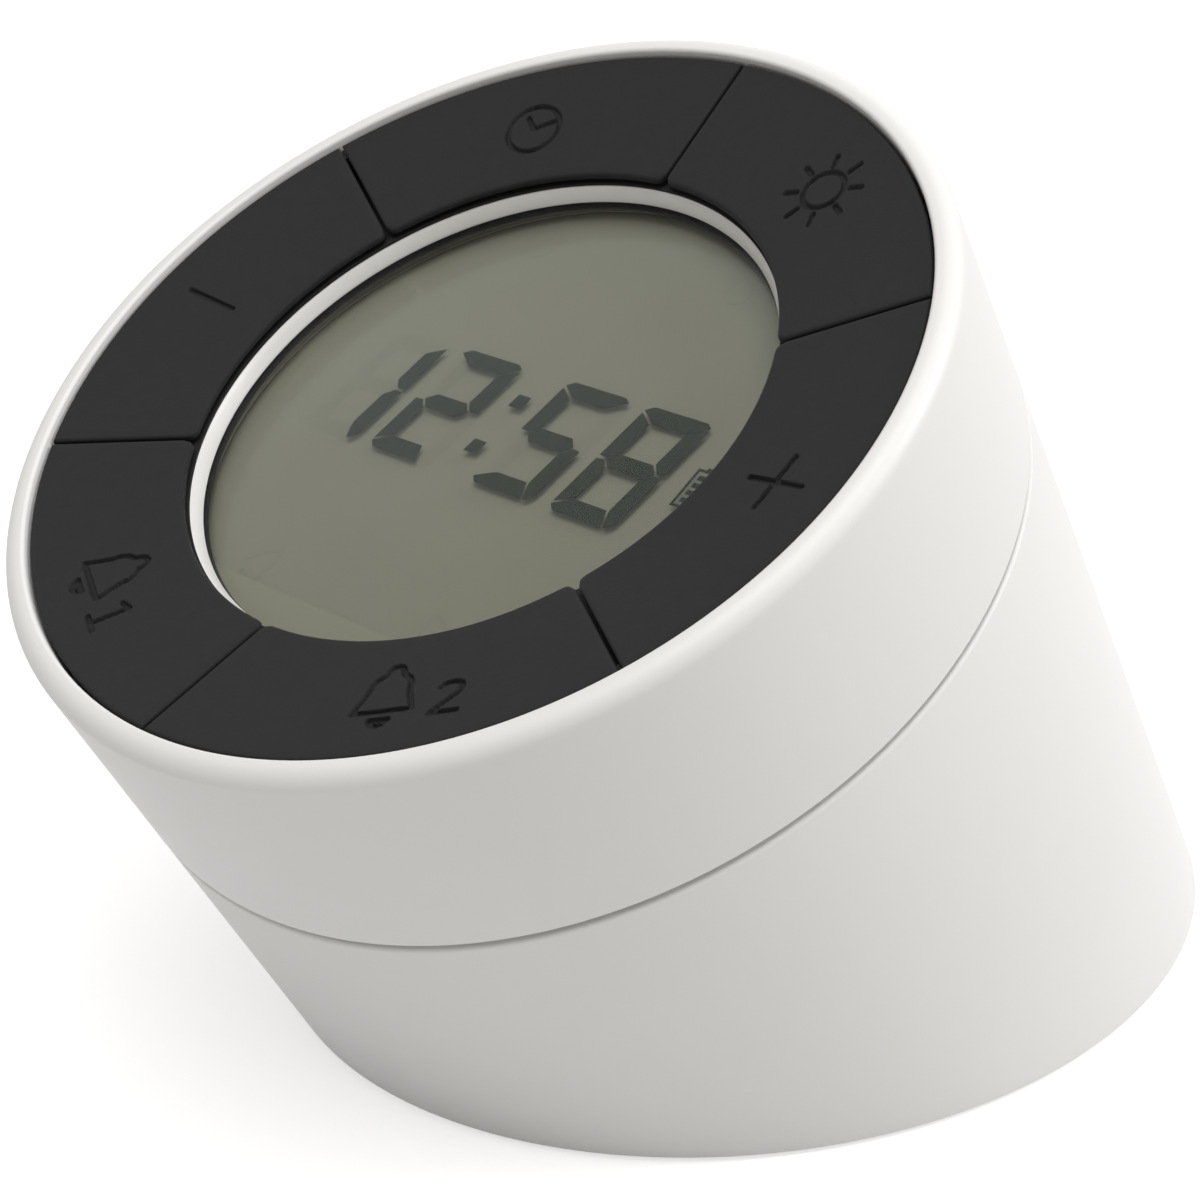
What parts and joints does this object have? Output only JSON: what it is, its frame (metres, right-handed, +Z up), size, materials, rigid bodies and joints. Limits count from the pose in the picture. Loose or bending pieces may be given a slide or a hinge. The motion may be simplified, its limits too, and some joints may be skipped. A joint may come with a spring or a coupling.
{
  "type": "bedside alarm clock",
  "caption": "Bedside alarm clock: an obliquely cut white cylinder whose leaning face has a round segment display inside a ring of dark soft keys.",
  "frame": {"origin": "middle of the oval that the clock stands on, on the table, where the cylinder's axis meets it", "axes": "+Z up, +X to the right of someone reading the display, -Y the way the face leans and looks"},
  "size_m": [0.095, 0.1351, 0.0949],
  "materials": {
    "head_white": "soft white moulding, fine matt grain",
    "base_white": "soft white moulding, slightly see-through to the lamp inside",
    "key_rubber": "dark grey, soft-touch, fine grain",
    "bezel_white": "satin white",
    "dark_plastic": "black moulding",
    "plunger_plastic": "light brown switch plunger",
    "clear_window": "clear, glossy",
    "display_glass": "thin clear plate",
    "display_film": "grey-green reflecting film",
    "clear_guide": "clear light guide",
    "holder_white": "white moulding",
    "strip_rubber": "layered contact rubber",
    "circuit_board": "green board",
    "chip_black": "black moulded chip",
    "screw_steel": "bright zinc",
    "can_steel": "pressed steel shell",
    "plug_white": "cream plug",
    "cable_cover": "insulated wire",
    "lamp_white": "lamp with a yellow phosphor",
    "plate_white": "white moulding",
    "pad_rubber": "grey anti-slip rubber",
    "cell_wrap": "shrink-wrapped cell",
    "contact_metal": "pressed contact"
  },
  "bodies": {
    "clock_body": {"head_shell": "head_white", "base_shell": "base_white", "display_bezel": "bezel_white", "key_frame": "dark_plastic", "key_switches": "dark_plastic", "battery_cradle": "dark_plastic", "alarm_buzzer": "dark_plastic", "display_window": "clear_window", "lcd_front_glass": "display_glass", "lcd_back_glass": "display_glass", "lcd_reflector": "display_film", "light_guide": "clear_guide", "display_holder": "holder_white", "contact_strip": "strip_rubber", "main_board": "circuit_board", "lamp_board": "circuit_board", "charging_board": "circuit_board", "clock_chip": "chip_black", "frame_screws": "screw_steel", "board_screws": "screw_steel", "joint_screws": "screw_steel", "lamp_screws": "screw_steel", "charger_screws": "screw_steel", "base_screws": "screw_steel", "quartz_crystal": "can_steel", "charging_socket": "can_steel", "board_plug": "plug_white", "lamp_plug": "plug_white", "lamp_cable_plug": "plug_white", "charger_plug": "plug_white", "ribbon_cable": "cable_cover", "charge_cable": "cable_cover", "lamp_leds": "lamp_white", "base_plate": "plate_white", "foot_pad": "pad_rubber", "battery_cell": "cell_wrap", "battery_contacts": "contact_metal"},
    "plus_button": {"plus_key": "key_rubber", "plus_plunger": "plunger_plastic"},
    "light_button": {"light_key": "key_rubber", "light_plunger": "plunger_plastic"},
    "time_button": {"time_key": "key_rubber", "time_plunger": "plunger_plastic"},
    "minus_button": {"minus_key": "key_rubber", "minus_plunger": "plunger_plastic"},
    "alarm_one_button": {"alarm_one_key": "key_rubber", "alarm_one_plunger": "plunger_plastic"},
    "alarm_two_button": {"alarm_two_key": "key_rubber", "alarm_two_plunger": "plunger_plastic"}
  },
  "joints": [
    {"name": "plus_press", "type": "slide", "parent": "clock_body", "child": "plus_button", "axis": [0, 0.4848, -0.8746], "range_m": [0, 0.0005], "stiffness_N_per_m": 600, "springref_m": -0.0008},
    {"name": "light_press", "type": "slide", "parent": "clock_body", "child": "light_button", "axis": [0, 0.4848, -0.8746], "range_m": [0, 0.0005], "stiffness_N_per_m": 600, "springref_m": -0.0008},
    {"name": "time_press", "type": "slide", "parent": "clock_body", "child": "time_button", "axis": [0, 0.4848, -0.8746], "range_m": [0, 0.0005], "stiffness_N_per_m": 600, "springref_m": -0.0008},
    {"name": "minus_press", "type": "slide", "parent": "clock_body", "child": "minus_button", "axis": [0, 0.4848, -0.8746], "range_m": [0, 0.0005], "stiffness_N_per_m": 600, "springref_m": -0.0008},
    {"name": "alarm_one_press", "type": "slide", "parent": "clock_body", "child": "alarm_one_button", "axis": [0, 0.4848, -0.8746], "range_m": [0, 0.0005], "stiffness_N_per_m": 600, "springref_m": -0.0008},
    {"name": "alarm_two_press", "type": "slide", "parent": "clock_body", "child": "alarm_two_button", "axis": [0, 0.4848, -0.8746], "range_m": [0, 0.0005], "stiffness_N_per_m": 600, "springref_m": -0.0008}
  ]
}
